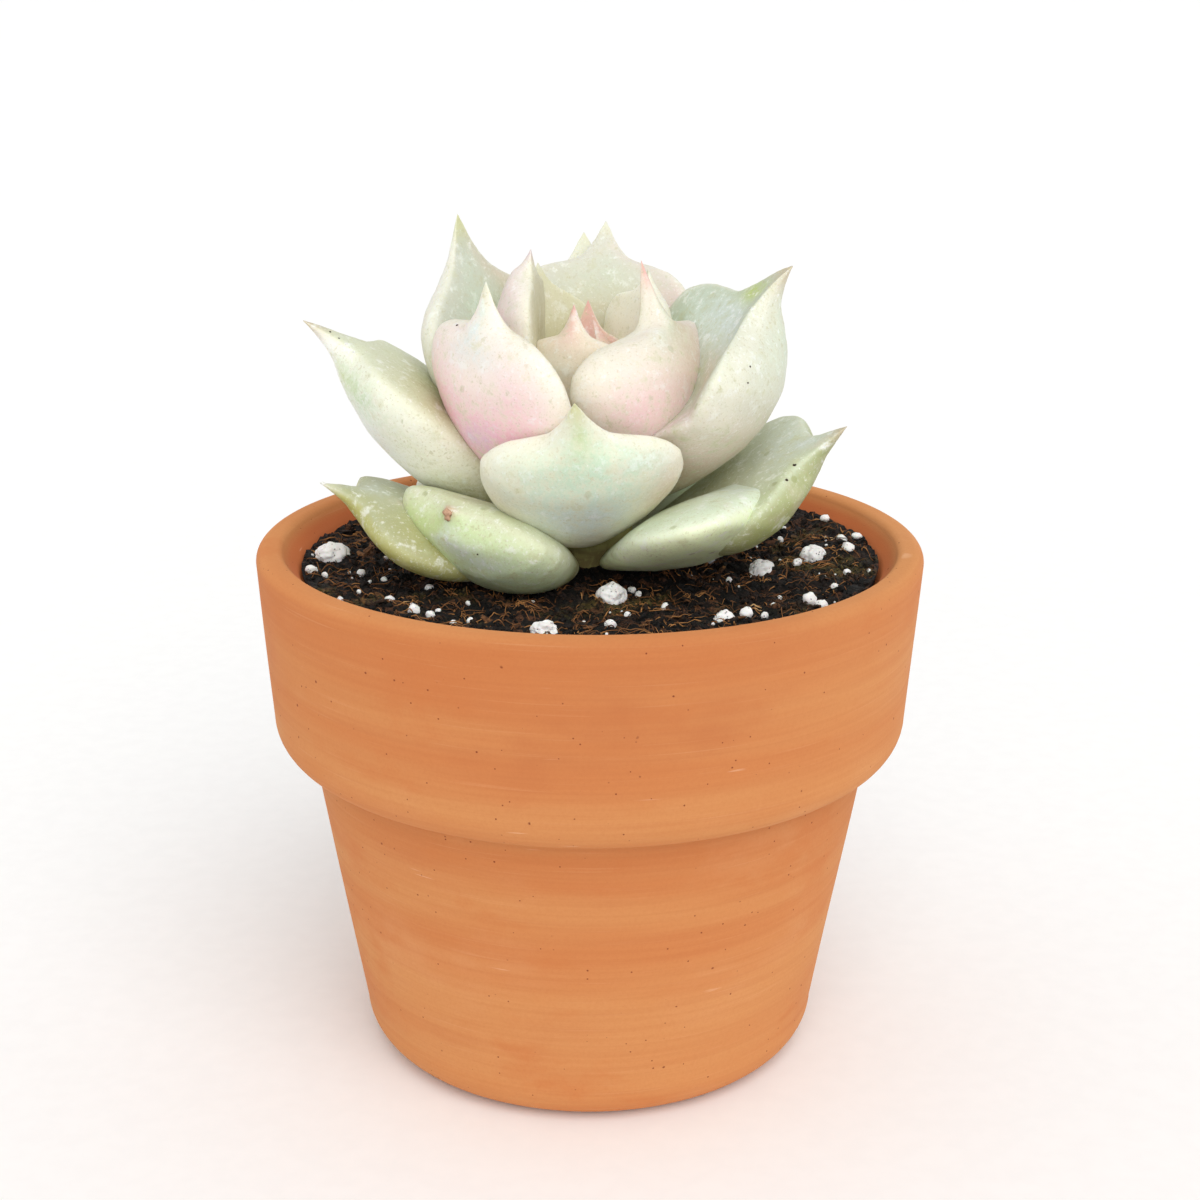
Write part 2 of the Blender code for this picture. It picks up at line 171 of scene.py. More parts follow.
def throughPoints(table):
    # a smooth curve through (position, value) pairs that never overshoots them
    slopes = [(y1 - y0) / (x1 - x0) for (x0, y0), (x1, y1) in zip(table, table[1:])]
    tangents = [slopes[0]]
    for before, after in zip(slopes, slopes[1:]):
        tangents.append(0.0 if before * after <= 0.0 else 2.0 * before * after / (before + after))
    tangents.append(slopes[-1])

    def curve(at):
        index = 0
        while index < len(table) - 2 and at > table[index + 1][0]:
            index += 1
        (x0, y0), (x1, y1) = table[index], table[index + 1]
        wide = x1 - x0
        t = max(0.0, min(1.0, (at - x0) / wide))
        rise = y1 - y0
        first = tangents[index] * wide
        last = tangents[index + 1] * wide
        return y0 + t * (first + t * (3.0 * rise - 2.0 * first - last + t * (first + last - 2.0 * rise)))
    return curve


# clay pot

potLow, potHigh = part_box("pot")
clayPot = {
    "height": (potHigh.z - potLow.z) / mm,
    "rimRadius": (potHigh.x - potLow.x) * 0.5 / mm,
    "rimRounding": 1.4,
    "rimWidth": 2.8,              # flat top of the rim with its roundings
    "collarFootRadius": 39.6,
    "collarFootHeight": 39.7,
    "collarRounding": 4.6,
    "neckRadius": 35.0,           # body just below the collar
    "neckRounding": 0.5,
    "neckDrop": 0.7,
    "baseRadius": 29.2,
    "baseRounding": 5.0,
    "floorThickness": 5.0,
    "drainRadius": 5.0,
    "drainEdge": 0.5,
    "innerOutline": [(22, 5), (24.6, 7.6), (30.2, 39), (34.9, 60), (36.2, 63.2)],
    "innerRounding": 1.1,
    "innerInset": 0.5,
    "outlineStep": 1.6,
    "steps": 240,
    "wobble": 0.1,                # how far the wall strays from a true circle
    "wobbleFrom": 12.0,           # distance from the axis where that starts
    # heights where the wiped band under the rim starts, is full, thins and ends
    "wipedBand": (0.0555, 0.0615, 0.0635, 0.0655),
    # the darker inside wall: radius and height where it starts and is full, in metres
    "darkInsideRadius": (0.0379, 0.0366),
    "darkInsideHeight": (0.05, 0.056),
    # scale of the cells, share of them without a pore, size of the pore
    "pores": ((330.0, 0.74, 0.055), (760.0, 0.84, 0.09), (1300.0, 0.92, 0.13)),
    "clay": tint(206, 142, 87),
    "redClay": tint(198, 120, 68),
    "paleClay": tint(215, 159, 112),
    "washClay": tint(186, 108, 62),
    "innerClay": tint(200, 108, 62),
    "pore": tint(120, 46, 26),
    "salt": tint(240, 204, 172),
}


def arc(centre, radius, start, end, count):
    points = []
    for step in range(count + 1):
        angle = math.radians(start + (end - start) * step / count)
        points.append((centre[0] + radius * math.cos(angle), centre[1] + radius * math.sin(angle)))
    return points


def evenly(points, spacing):
    # extra points along the long runs of an outline
    filled = [points[0]]
    for (r0, z0), (r1, z1) in zip(points, points[1:]):
        count = max(1, round(math.hypot(r1 - r0, z1 - z0) / spacing))
        for step in range(1, count + 1):
            filled.append((r0 + (r1 - r0) * step / count, z0 + (z1 - z0) * step / count))
    return filled


def turned(outline, steps, closed=False):
    # a few points at +X joined by edges and spun round the axis
    bm = bmesh.new()
    verts = [bm.verts.new((r * mm, 0.0, z * mm)) for r, z in outline]
    edges = [bm.edges.new(pair) for pair in zip(verts, verts[1:])]
    if closed:
        edges.append(bm.edges.new((verts[-1], verts[0])))
    bmesh.ops.spin(bm, geom=verts + edges, cent=(0, 0, 0), axis=(0, 0, 1), angle=math.tau, steps=steps,
                   use_merge=True)
    bmesh.ops.remove_doubles(bm, verts=bm.verts, dist=0.000002)
    bmesh.ops.recalc_face_normals(bm, faces=bm.faces)
    return bm


def clayMaterial(pot):
    made, tree, place = startMaterial("brushedTerracotta", Specular_IOR_Level=0.22, Diffuse_Roughness=0.6)
    height = node(tree, "ShaderNodeSeparateXYZ", {0: place}).outputs[2]

    # soft bands left by wiping the wet clay, then fine brushed lines
    bands = streaks(tree, (9, 9, 95))
    patches = streaks(tree, (26, 26, 48), 4.0, 0.6, (3.1, 0.4, 1.7))
    lines = streaks(tree, (26, 26, 1500), 3.0, 0.6)
    hairs = streaks(tree, (60, 60, 4200), 2.0, shift=(0.3, 2.0, 0.9))
    grain = cloud(tree, place, 2600.0, 3.0, 0.7)

    colour = layered(tree, pot["clay"], bands, 0.4, 0.66, 0.75, pot["redClay"])
    colour = layered(tree, colour, patches, 0.52, 0.74, 0.42, pot["paleClay"])
    wash = times(tree, between(tree, patches, 0.46, 0.28), between(tree, bands, 0.35, 0.6, 0.2, 0.6))
    colour = mixed(tree, wash, colour, pot["washClay"])

    # redder just under the rim, where it was wiped last
    start, full, thin, end = pot["wipedBand"]
    underRim = times(tree, between(tree, height, start, full), between(tree, height, end, thin))
    colour = mixed(tree, times(tree, underRim, between(tree, patches, 0.3, 0.62, 0.25, 0.85)), colour,
                   pot["redClay"])
    colour = layered(tree, colour, lines, 0.36, 0.7, 0.22, pot["washClay"])
    colour = layered(tree, colour, hairs, 0.6, 0.8, 0.34, pot["paleClay"])
    ruddy = streaks(tree, (60, 60, 110), 4.0, 0.65, (7.0, 3.0, 1.0))
    colour = layered(tree, colour, ruddy, 0.52, 0.7, 0.55, pot["redClay"])
    colour = mixed(tree, between(tree, grain, 0.3, 0.62, 0.16, 0.0), colour, pot["washClay"])

    # inside wall: darker and redder
    level = node(tree, "ShaderNodeVectorMath", {0: place, 1: (1.0, 1.0, 0.0)}, operation="MULTIPLY")
    reach = node(tree, "ShaderNodeVectorMath", {0: level.outputs[0]}, operation="LENGTH").outputs["Value"]
    inside = times(tree, between(tree, reach, *pot["darkInsideRadius"]),
                   between(tree, height, *pot["darkInsideHeight"]))
    colour = mixed(tree, times(tree, inside, between(tree, patches, 0.3, 0.7, 0.95, 0.6)), colour,
                   pot["innerClay"])

    # pores: a few of the cells hold a small dark pit
    pits = 0.0
    for spread, share, size in pot["pores"]:
        distance, draw = cells(tree, place, spread)
        ragged = plus(tree, distance, times(tree, grain, 0.1))
        here = times(tree, between(tree, draw, share, share + 0.03),
                     between(tree, ragged, size + 0.07, size + 0.02))
        pits = reckon(tree, "MAXIMUM", here, pits)
    colour = mixed(tree, times(tree, pits, 0.85), colour, pot["pore"])
    salty = between(tree, streaks(tree, (90, 90, 1400), 2.0, shift=(5.0, 1.0, 2.0)), 0.74, 0.8)
    colour = mixed(tree, times(tree, salty, 0.28), colour, pot["salt"])

    roughness = between(tree, patches, 0.3, 0.7, 0.72, 0.9)
    relief = plus(tree, times(tree, lines, 0.6), times(tree, grain, 0.5))
    relief = reckon(tree, "SUBTRACT", relief, times(tree, pits, 1.6))
    return finishMaterial(made, colour, roughness, relief, 0.35, 0.00012)


def makePot(pot):
    top = pot["height"]
    rim = pot["rimRounding"]
    outline = arc((pot["rimRadius"] - rim, top - rim), rim, 90, 0, 7)
    collar = pot["collarRounding"]
    outline += arc((pot["collarFootRadius"] - collar, pot["collarFootHeight"] + collar), collar, 0, -86, 12)
    neck = pot["neckRounding"]
    outline += arc((pot["neckRadius"] + neck, pot["collarFootHeight"] - pot["neckDrop"]), neck, 90, 180, 4)
    base = pot["baseRounding"]
    outline += arc((pot["baseRadius"] - base, base), base, 0, -90, 12)
    outline.append((pot["drainRadius"] + pot["drainEdge"], 0.0))
    outline.append((pot["drainRadius"], pot["drainEdge"]))
    outline.append((pot["drainRadius"], pot["floorThickness"]))
    outline += pot["innerOutline"]
    inner = pot["innerRounding"]
    outline += arc((pot["rimRadius"] - pot["rimWidth"] + pot["innerInset"], top - inner), inner, 170, 90, 5)
    bm = turned(evenly(outline, pot["outlineStep"]), pot["steps"], closed=True)
    for vert in bm.verts:
        # hand-held clay is never quite round
        reach = vert.co.xy.length
        if reach > pot["wobbleFrom"] * mm:
            away = noise.noise(Vector((vert.co.x * 30, vert.co.y * 30, vert.co.z * 45)))
            scale = 1.0 + pot["wobble"] * mm * away / reach
            vert.co.x *= scale
            vert.co.y *= scale
    piece = newPiece("clayPot", bm, clayMaterial(pot))
    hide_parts("pot")


makePot(clayPot)
print("clay pot made")


# potting mix

soilLow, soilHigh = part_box("soil")
pottingMix = {
    # height of the mix at distances from the middle, and its rise towards the right
    "top": [(0, 62.2), (7, 62.2), (13, 62.15), (19, 62.15), (25, 62.3), (30, 62.75), (35.6, 63.1)],
    "tilt": 0.009,
    "heap": 1.0,                  # extra height round the stem
    "radius": (soilHigh.x - soilLow.x) * 0.5 / mm,
    "bottom": soilLow.z / mm,
    "side": [(24.2, 7.8), (29.85, 39.0), (34.4, 59.4)],
    "bottomRadius": 21.8,
    "level": 62.0,                # flat top before it gets its shape
    "rings": 96,
    "steps": 300,
    "roughness": 0.5,             # height of the crumbly surface
    "shades": [tint(9, 7, 6), tint(36, 24, 19), tint(98, 62, 40)],
    "fibre": [tint(180, 126, 74), tint(122, 80, 46), tint(226, 184, 128), tint(56, 37, 26)],
    "moss": tint(112, 96, 44),
    # how many of each lie on the mix, and between which distances from the middle
    "crumbs": 6200,
    "crumbReach": (5.6, 35.2),
    "fibres": 1700,
    "fibreReach": (8.0, 34.6),
    "chips": 170,
    "chipReach": (10.0, 33.6),
    "wallReach": 35.2,            # nothing lies farther out
}


mixLevel = throughPoints(pottingMix["top"])


def mixHeight(x, y):
    # height of the mix, in mm, at a place in the pot
    reach = math.hypot(x, y)
    height = mixLevel(min(reach, pottingMix["radius"])) + pottingMix["tilt"] * x
    height += pottingMix["heap"] * ease(9.5, 5.5, reach)
    height += 0.35 * math.sin(0.42 * x + 1.3) * math.sin(0.37 * y + 0.4) * ease(35.6, 32.0, reach)
    size = pottingMix["roughness"]
    # lumps, clods and grains, each finer than the one before
    height += size * 1.1 * noise.noise(Vector((x * 0.34, y * 0.34, 3.0)))
    height += size * 0.9 * noise.noise(Vector((x * 0.95, y * 0.95, 7.0)))
    height += size * 0.55 * noise.noise(Vector((x * 2.4, y * 2.4, 1.0)))
    return height


def mixMaterial(name, colours, spread):
    # dark crumbly matter that varies from bit to bit
    made, tree, place = startMaterial(name, Specular_IOR_Level=0.3)
    pick = cells(tree, place, spread)[1]
    fine = cloud(tree, place, 2300.0, 3.0, 0.7)
    colour = mixed(tree, between(tree, pick, 0.35, 0.75), colours[0], colours[1])
    colour = layered(tree, colour, pick, 0.8, 0.97, 0.85, colours[2])
    colour = layered(tree, colour, fine, 0.62, 0.36, 0.75, colours[0])
    # a thin green film here and there
    film = cloud(tree, objectPlace(tree, shift=(0.9, 0.3, 0.1)), 95.0, 3.0)
    film = times(tree, between(tree, film, 0.56, 0.7, 0.0, 0.55), between(tree, fine, 0.4, 0.56))
    colour = mixed(tree, film, colour, pottingMix["moss"])
    roughness = between(tree, fine, 0.3, 0.7, 0.95, 0.62)
    return finishMaterial(made, colour, roughness, fine, 0.7, 0.0003)


def makeMix(mix):
    top = [(mix["radius"] * (1.0 - step / mix["rings"]), mix["level"]) for step in range(mix["rings"] + 1)]
    outline = [(0.0, mix["bottom"]), (mix["bottomRadius"], mix["bottom"])] + mix["side"] + top
    bm = turned(outline, mix["steps"])
    for vert in bm.verts:
        if vert.co.z > (mix["level"] - 0.5) * mm:
            vert.co.z = mixHeight(vert.co.x / mm, vert.co.y / mm) * mm
    piece = newPiece("pottingMix", bm, mixMaterial("darkMix", mix["shades"], 900.0))
    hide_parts("soil")


def scatter(rng, inner, outer):
    reach = math.sqrt(rng.uniform(inner * inner, outer * outer))
    around = rng.uniform(0.0, math.tau)
    return reach * math.cos(around), reach * math.sin(around)


def addTo(bm, part, place):
    # puts a small shape into a bigger mesh
    part.transform(place)
    mesh = meshFrom("part", part)
    bm.from_mesh(mesh)
    bpy.data.meshes.remove(mesh)


def placed(spot, turn, size):
    # where a shape of radius one goes: spot in metres, half sizes in mm
    return Matrix.Translation(spot) @ turn @ Matrix.Diagonal((*size, 1.0)) @ Matrix.Scale(mm, 4)


def onMix(x, y, above):
    return Vector((x, y, mixHeight(x, y) + above)) * mm


def crumb(rng, subdivisions, roughness):
    part = bmesh.new()
    bmesh.ops.create_icosphere(part, subdivisions=subdivisions, radius=1.0)
    for vert in part.verts:
        vert.co *= 1.0 + rng.uniform(-roughness, roughness)
    return part


def anyTurn(rng):
    axis = Vector((rng.uniform(-1, 1), rng.uniform(-1, 1), rng.uniform(-1, 1))).normalized()
    return Matrix.Rotation(rng.uniform(0, math.tau), 4, axis)


def makeCrumbs(mix):
    rng = random.Random(11)
    bm = bmesh.new()
    for _ in range(mix["crumbs"]):
        x, y = scatter(rng, *mix["crumbReach"])
        size = 0.12 + 0.36 * rng.random() ** 2.4
        sizes = (size * rng.uniform(0.8, 1.7), size, size * rng.uniform(0.5, 0.9))
        addTo(bm, crumb(rng, 1, 0.28), placed(onMix(x, y, size * 0.15), anyTurn(rng), sizes))
    newPiece("mixCrumbs", bm, mixMaterial("crumbMix", mix["shades"], 700.0), smooth=False)

    # flat slivers of bark
    bm = bmesh.new()
    for _ in range(mix["chips"]):
        x, y = scatter(rng, *mix["chipReach"])
        size = rng.uniform(0.25, 0.75)
        sizes = (size * rng.uniform(1.2, 2.2), size * rng.uniform(0.5, 0.9), size * 0.28)
        lean = Matrix.Rotation(rng.uniform(-0.5, 0.5), 4, "X")
        lean = lean @ Matrix.Rotation(rng.uniform(-0.5, 0.5), 4, "Y")
        turn = lean @ Matrix.Rotation(rng.uniform(0, math.tau), 4, "Z")
        addTo(bm, crumb(rng, 1, 0.22), placed(onMix(x, y, 0.18), turn, sizes))
    skin = mixMaterial("barkMix", [mix["shades"][1], mix["fibre"][1], mix["fibre"][0]], 420.0)
    newPiece("barkChips", bm, skin, smooth=False)


def fibreMaterial(mix):
    made, tree, place = startMaterial("coirFibre", Specular_IOR_Level=0.3)
    pick = cloud(tree, place, 210.0, 2.0)
    fine = cloud(tree, place, 1900.0, 2.0)
    colour = mixed(tree, between(tree, pick, 0.35, 0.5), mix["fibre"][3], mix["fibre"][1])
    colour = mixed(tree, between(tree, pick, 0.5, 0.62), colour, mix["fibre"][0])
    colour = mixed(tree, between(tree, pick, 0.64, 0.74), colour, mix["fibre"][2])
    return finishMaterial(made, colour, between(tree, fine, 0.3, 0.7, 0.6, 0.9), fine, 0.4, 0.0001)


def makeFibres(mix):
    rng = random.Random(5)
    bm = bmesh.new()
    for _ in range(mix["fibres"]):
        x, y = scatter(rng, *mix["fibreReach"])
        length = 0.7 + 3.2 * rng.random() ** 2.0
        thick = rng.uniform(0.035, 0.085)
        heading = rng.uniform(0, math.tau)
        curl = rng.uniform(-0.45, 0.45)
        lift = rng.uniform(0.0, 0.5)
        part = bmesh.new()
        bmesh.ops.create_cone(part, cap_ends=True, segments=4, radius1=1.0, radius2=0.7, depth=1.0)
        lengthwise = [edge for edge in part.edges if abs(edge.verts[0].co.z - edge.verts[1].co.z) > 0.5]
        bmesh.ops.subdivide_edges(part, edges=lengthwise, cuts=4)
        for vert in part.verts:
            t = vert.co.z + 0.5
            turnHere = heading + curl * (t - 0.5)
            ahead = (t - 0.5) * length
            px = x + ahead * math.cos(turnHere) - vert.co.x * thick * math.sin(turnHere)
            py = y + ahead * math.sin(turnHere) + vert.co.x * thick * math.cos(turnHere)
            reach = math.hypot(px, py)
            if reach > mix["wallReach"]:
                px *= mix["wallReach"] / reach
                py *= mix["wallReach"] / reach
            pz = mixHeight(px, py) + 0.1 + vert.co.y * thick + lift * (1.0 - (2.0 * t - 1.0) ** 2)
            vert.co = Vector((px, py, pz)) * mm
        addTo(bm, part, Matrix.Identity(4))
    bmesh.ops.recalc_face_normals(bm, faces=bm.faces)
    newPiece("coirFibres", bm, fibreMaterial(mix))


makeMix(pottingMix)
makeCrumbs(pottingMix)
makeFibres(pottingMix)
print("potting mix made")


# perlite

whiteGrit = {
    "grains": ["perlite_front", "perlite_right", "perlite_far_right", "perlite_left", "perlite_front_edge",
               "perlite_front_right", "perlite_back_right", "perlite_back", "perlite_back_left"],
    "small": 110,
    "smallReach": (12.0, 34.8),
    "white": tint(250, 249, 247),
    "grey": tint(238, 236, 232),
    "pit": tint(88, 78, 68),
    # x, y and size of the bigger loose bits, in mm
    "placed": [
        (-33.7, -7, 1.3), (-31.9, -8.4, 0.9), (-27.9, -5.7, 1.1), (-19, -11.6, 1.1), (-23.2, -17.7, 1.2),
        (-19.9, -23, 1.5), (-18, -23.6, 1), (-0.6, -24.3, 0.6), (4.4, -21.6, 0.8), (2.4, -27.2, 1.3),
        (8.7, -20.6, 1), (12.2, -6.4, 0.8), (14.9, 0, 1.5), (25.4, -3.5, 1.2), (24.4, 8.6, 0.9),
        (30.8, 15, 1.3), (32, 6.2, 1.4), (34, 7, 1.3), (32.2, 1.2, 1.7), (22.4, -14.5, 0.7),
        (25.2, -21.1, 1.6), (26.6, -21.5, 1.3), (17.7, -25, 1.5), (19.8, -24.6, 1), (33.8, -7.2, 0.6)],
}


def gritMaterial(grit):
    made, tree, place = startMaterial("puffedPerlite", Specular_IOR_Level=0.35, Subsurface_Weight=0.08,
                                      Subsurface_Scale=0.0006)
    pit = between(tree, cells(tree, place, 2600.0)[0], 0.34, 0.12)
    rare = between(tree, cloud(tree, place, 1500.0, 2.0), 0.46, 0.58)
    pit = times(tree, pit, rare)
    soft = cloud(tree, place, 900.0, 3.0)
    colour = mixed(tree, between(tree, soft, 0.4, 0.68, 0.0, 0.6), grit["white"], grit["grey"])
    colour = mixed(tree, times(tree, pit, 0.8), colour, grit["pit"])
    relief = reckon(tree, "SUBTRACT", soft, times(tree, pit, 1.5))
    return finishMaterial(made, colour, between(tree, soft, 0.3, 0.7, 0.7, 0.95), relief, 0.6, 0.0002)


def lump(seed, subdivisions):
    # a knobbly, pitted puffed grain of radius one
    part = bmesh.new()
    bmesh.ops.create_icosphere(part, subdivisions=subdivisions, radius=1.0)
    offset = Vector((seed * 3.7, seed * 1.9, seed * 5.3))
    for vert in part.verts:
        way = vert.co.normalized()
        size = 1.0 + 0.22 * noise.noise(way * 1.3 + offset) + 0.12 * noise.noise(way * 3.2 + offset)
        cell = noise.voronoi(way * 3.4 + offset)[0][0]
        size -= 0.1 * ease(0.3, 0.05, cell)
        vert.co = way * size
    return part


def makeGrit(grit):
    material = gritMaterial(grit)
    for number, name in enumerate(grit["grains"]):
        low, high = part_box(name)
        middle = (low + high) * 0.5
        half = (high - low) * 0.5
        part = lump(number + 2, 5)
        part.transform(Matrix.Translation(middle) @ Matrix.Diagonal((half.x, half.y, half.z, 1.0)))
        piece = newPiece(name.replace("perlite_", "puffedGrain_"), part, material)
        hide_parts(name)

    rng = random.Random(21)
    bm = bmesh.new()
    spots = list(grit["placed"])
    while len(spots) < grit["small"] + len(grit["placed"]):
        x, y = scatter(rng, *grit["smallReach"])
        spots.append((x, y, 0.28 + 0.75 * rng.random() ** 2.4))
    for number, (x, y, size) in enumerate(spots):
        half = size * 0.5
        sizes = (half * rng.uniform(0.9, 1.25), half, half * rng.uniform(0.7, 0.95))
        grain = lump(number + 30, 3 if size > 0.7 else 2)
        addTo(bm, grain, placed(onMix(x, y, half * 0.55), anyTurn(rng), sizes))
    newPiece("smallGrit", bm, material)


makeGrit(whiteGrit)
print("perlite made")


# leaves

# around: turn round the stem; start, height: where it leaves the stem; rise, tipRise: slope at base and
# tip; point: part of the length that is the drawn-out tip; twist: roll; swing: bend to the side
leafShapes = {
    "leaf_front_middle": dict(around=-92, height=67.6, rise=25, tipRise=66, length=28.9, width=23.4,
        point=0.2, depth=7.4, twist=4, swing=-5, flick=-10, start=4.5, shoulders=(0.31, 0.27),
        curl=(-0.03, 0.03), lean=-0.24, neck=0.34),
    "leaf_front_left": dict(around=-131, height=71.1, rise=42, tipRise=87, length=31.9, width=23.9,
        point=0.16, depth=7.7, twist=-11, swing=2, hollow=0.08, flick=-3, shoulders=(0.82, 0.2),
        curl=(-0.03, -0.08), lean=-0.24, neck=0.29),
    "leaf_front_right": dict(around=-31, height=71.9, rise=54, tipRise=125, length=29.6, width=27.4,
        point=0.26, depth=7.4, twist=-5, swing=5, hollow=0.15, flick=-22, start=5.3, shoulders=(0.27, 0.83),
        curl=(0.09, -0.06), lean=-0.53, neck=0.19),
    "leaf_low_front_left": dict(around=-135, height=62.7, rise=27, tipRise=32, length=22.7, width=23.6,
        point=0.08, depth=9.4, twist=-4, swing=7, hollow=0.08, flick=1, shoulders=(0.7, 0.31),
        curl=(-0.01, -0.13), lean=-0.05, neck=0.3),
    "leaf_low_front_right": dict(around=-45, height=63.5, rise=35, tipRise=19, length=24.6, width=27.6,
        point=0.08, twist=-8, swing=27, hollow=0.07, flick=-61, start=4.7, shoulders=(0.24, 1.35),
        curl=(-0.17, 0.21), lean=0.21, neck=0.3),
    "leaf_low_left": dict(around=198, height=64.1, rise=9, tipRise=35, length=31.2, width=22, point=0.18,
        depth=6.1, twist=-12, swing=4, hollow=0.01, flick=-14, start=4.7, shoulders=(0.62, 0.35),
        curl=(-0.08, -0.08), lean=0.09, neck=0.28),
    "leaf_low_right": dict(around=-14, height=65.4, rise=19, tipRise=46, length=32.2, width=25.4, point=0.2,
        depth=7.3, twist=20, swing=-18, hollow=0.11, flick=-8, start=5, shoulders=(0.29, 0.26),
        curl=(-0.02, 0), lean=0.01, neck=0.34),
    "leaf_left": dict(around=184, height=66, rise=47, tipRise=39, length=40.1, width=21.6, point=0.19,
        depth=10.3, twist=-2, swing=1, hollow=0.1, flick=-11, shoulders=(0.86, 0.19), curl=(-0.02, -0.03),
        lean=-0.1, neck=0.33),
    "leaf_right": dict(around=-11, height=71, rise=49, tipRise=67, length=35.5, width=29.1, point=0.2,
        depth=10.6, twist=38, swing=-16, hollow=0.17, flick=-26, start=4.5, shoulders=(0.31, 0.11),
        curl=(0.33, -0.01), lean=-0.16, neck=0.33),
    "leaf_back_left": dict(around=155, height=71.1, rise=51, tipRise=85, length=36.2, width=22.2,
        point=0.21, depth=7.6, twist=-13, swing=2, flick=-1, start=4.5, shoulders=(0.23, -0.01),
        curl=(0.01, -0.02), lean=0.04, neck=0.43),
    "leaf_back": dict(around=86, height=73.5, rise=54, tipRise=78, length=31.7, width=23, point=0.15,
        twist=8, swing=-6, flick=-2, start=4.5, shoulders=(0.27, 0.37), curl=(-0.01, 0.02), neck=0.29),
    "leaf_upper_left": dict(around=177, height=76, rise=60, tipRise=106, length=25.7, width=17.3,
        point=0.12, depth=5.5, twist=2, swing=-5, hollow=0.13, flick=-12, start=3.8, shoulders=(0.38, 0.3),
        curl=(0.01, 0.01), neck=0.3),
    "leaf_upper_right": dict(around=26, height=76.5, rise=72, tipRise=86, length=22.2, width=15.3,
        point=0.13, depth=4.9, hollow=0.13, flick=2, start=3.5, shoulders=(0.27, 0.49), curl=(0.01, 0.02),
        lean=0.04, neck=0.28),
    "leaf_heart_front": dict(around=-109, height=76.6, rise=70, tipRise=92, length=19, width=13.3,
        point=0.2, depth=4.5, twist=-5, swing=-1, start=3, shoulders=(0.34, 0.27), curl=(0, -0.01),
        lean=-0.01, neck=0.32),
    "leaf_back_outer": dict(around=93, height=70.5, rise=49, tipRise=77, length=34, width=21.7, point=0.16),
    "leaf_heart_back": dict(around=95, height=77.4, rise=76, tipRise=90, length=17, width=10.5, point=0.22,
        depth=4, start=2.2),
    "leaf_heart_right": dict(around=-15, height=77, rise=84, tipRise=112, length=16, width=9, point=0.22,
        depth=4, start=2.4),
    "leaf_heart_left": dict(around=190, height=77.2, rise=76, tipRise=94, length=14, width=9, point=0.2,
        depth=4, start=2.4),
    "leaf_upper_back_left": dict(around=128, height=75.5, rise=58, tipRise=88, length=24, width=15,
        point=0.14, depth=5, start=3.8),
    "leaf_mid_back_right": dict(around=47, height=69.8, rise=42, tipRise=72, length=29, width=23,
        point=0.16),
    "leaf_mid_back_left": dict(around=123, height=68, rise=38, tipRise=66, length=31, width=23, point=0.17),
    "leaf_outer_back_right": dict(around=68, height=66.5, rise=26, tipRise=52, length=31, width=23,
        point=0.17),
    "leaf_low_back_right": dict(around=40, height=63.6, rise=10, tipRise=36, length=29, width=22,
        point=0.15),
    "leaf_low_back": dict(around=100, height=63.2, rise=10, tipRise=36, length=30, width=22.5, point=0.16),
    "leaf_low_back_left": dict(around=140, height=64.2, rise=10, tipRise=30, length=24, width=21,
        point=0.15),
}
# depth: thickness; hollow: how far the margins stand up; curl: the same for each margin on its own;
# shoulders: how abruptly each side comes in to the point; lean: which side is thicker; flick: bend of the
# point; neck: width where the point starts
leafHabit = dict(depth=7.5, twist=0, swing=0, hollow=0.12, flick=0, start=4.6, shoulders=(0, 0),
                 curl=(0, 0), lean=0, neck=0.38)

# half outline of a leaf from base to tip, then its thickness, each for the blade and for the drawn-out
# point. The blade's two widths are for sloping shoulders and for high ones
bladeWidth = [
    (0, 0, 0), (0.03, 0.22, 0.22), (0.1, 0.38, 0.38), (0.25, 0.58, 0.57), (0.45, 0.82, 0.8),
    (0.6, 0.96, 0.93), (0.7, 1, 0.98), (0.8, 0.97, 1), (0.88, 0.84, 0.97), (0.94, 0.64, 0.88)]
pointWidth = [(0, 1), (0.2, 0.68), (0.5, 0.38), (0.8, 0.16), (1, 0)]
bladeDepth = [(0, 0), (0.03, 0.25), (0.1, 0.45), (0.3, 0.8), (0.55, 1), (0.75, 0.95), (0.9, 0.72), (1, 0.5)]
pointDepth = [(0.3, 0.3), (0.7, 0.12), (1, 0)]
leafDetail = {"around": 72, "along": 88, "spineSteps": 400}
# part of the thickness above and below the margins
upperShare = 0.34
lowerShare = 0.66


def halfOutline(leaf, shoulder):
    blade = 1.0 - leaf["point"]
    table = [(at * blade, sloping + (square - sloping) * shoulder) for at, sloping, square in bladeWidth]
    table += [(blade + at * leaf["point"], width * leaf["neck"]) for at, width in pointWidth]
    return throughPoints(table)


def thicknessCurve(leaf):
    blade = 1.0 - leaf["point"]
    return throughPoints([(at * blade, deep) for at, deep in bladeDepth]
                         + [(blade + at * leaf["point"], deep) for at, deep in pointDepth])


